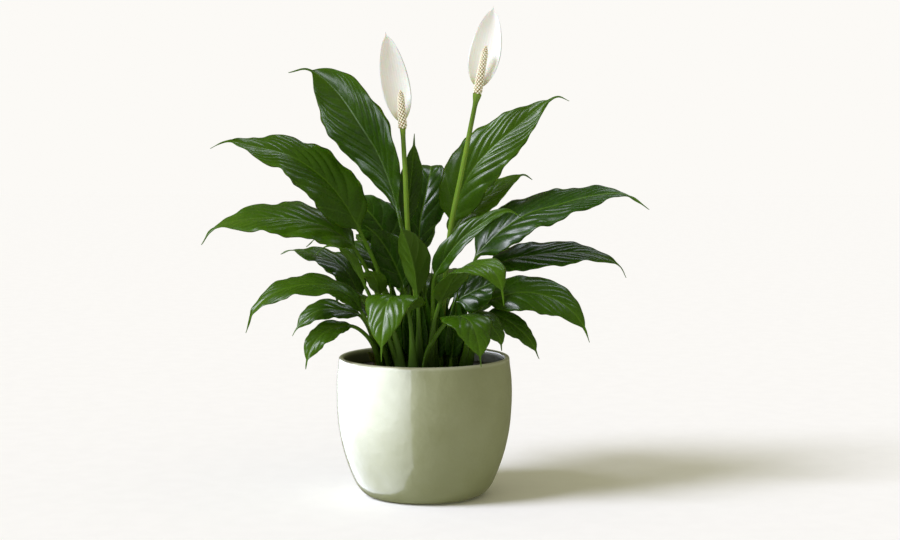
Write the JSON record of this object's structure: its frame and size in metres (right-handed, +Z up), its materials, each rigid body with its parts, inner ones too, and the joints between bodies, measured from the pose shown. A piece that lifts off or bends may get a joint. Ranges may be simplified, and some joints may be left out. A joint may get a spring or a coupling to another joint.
{
  "type": "potted peace lily",
  "caption": "Potted peace lily: glossy arching leaves on slim stalks and hooded white flowers, growing in a round glazed pot.",
  "frame": {"origin": "centre of the flat underside of the pot, on the surface the pot stands on", "axes": "+Z up along the pot's axis, -Y towards the side the plant's front leaves and flowers face, +X to that side's right as seen from the front"},
  "size_m": [0.444, 0.278, 0.489],
  "materials": {
    "glaze": "glossy sage-green glaze",
    "potting_soil": "damp crumbly potting soil",
    "leaf": "glossy living leaf",
    "stem": "smooth living stem",
    "spadix": "knobbly cream florets",
    "spathe": "soft white bract",
    "dry_sheath": "dry leaf sheath"
  },
  "bodies": {
    "root": {"flower_stem_left": "stem", "flower_stem_right": "stem", "leaf_back_bud": "leaf", "leaf_back_dark": "leaf", "leaf_behind_tall_right": "leaf", "leaf_broad_right": "leaf", "leaf_front_draped": "leaf", "leaf_front_left": "leaf", "leaf_front_right": "leaf", "leaf_front_upright": "leaf", "leaf_hidden_left": "leaf", "leaf_inner_left": "leaf", "leaf_lower_left": "leaf", "leaf_lowest_left": "leaf", "leaf_middle_left": "leaf", "leaf_middle_right": "leaf", "leaf_narrow_left": "leaf", "leaf_rear_high": "leaf", "leaf_rear_left": "leaf", "leaf_rear_left_high": "leaf", "leaf_rear_left_low": "leaf", "leaf_rear_low": "leaf", "leaf_rear_right": "leaf", "leaf_rear_right_low": "leaf", "leaf_shade_left": "leaf", "leaf_shaded_middle": "leaf", "leaf_shaded_right": "leaf", "leaf_short_right": "leaf", "leaf_slim_right": "leaf", "leaf_small_left": "leaf", "leaf_small_right": "leaf", "leaf_tall_left": "leaf", "leaf_tall_right": "leaf", "leaf_under_left": "leaf", "leaf_upper_left": "leaf", "leaf_upper_right": "leaf", "old_sheath": "dry_sheath", "pot": "glaze", "soil": "potting_soil", "spadix_left": "spadix", "spadix_right": "spadix", "spathe_left": "spathe", "spathe_right": "spathe"}
  },
  "joints": []
}
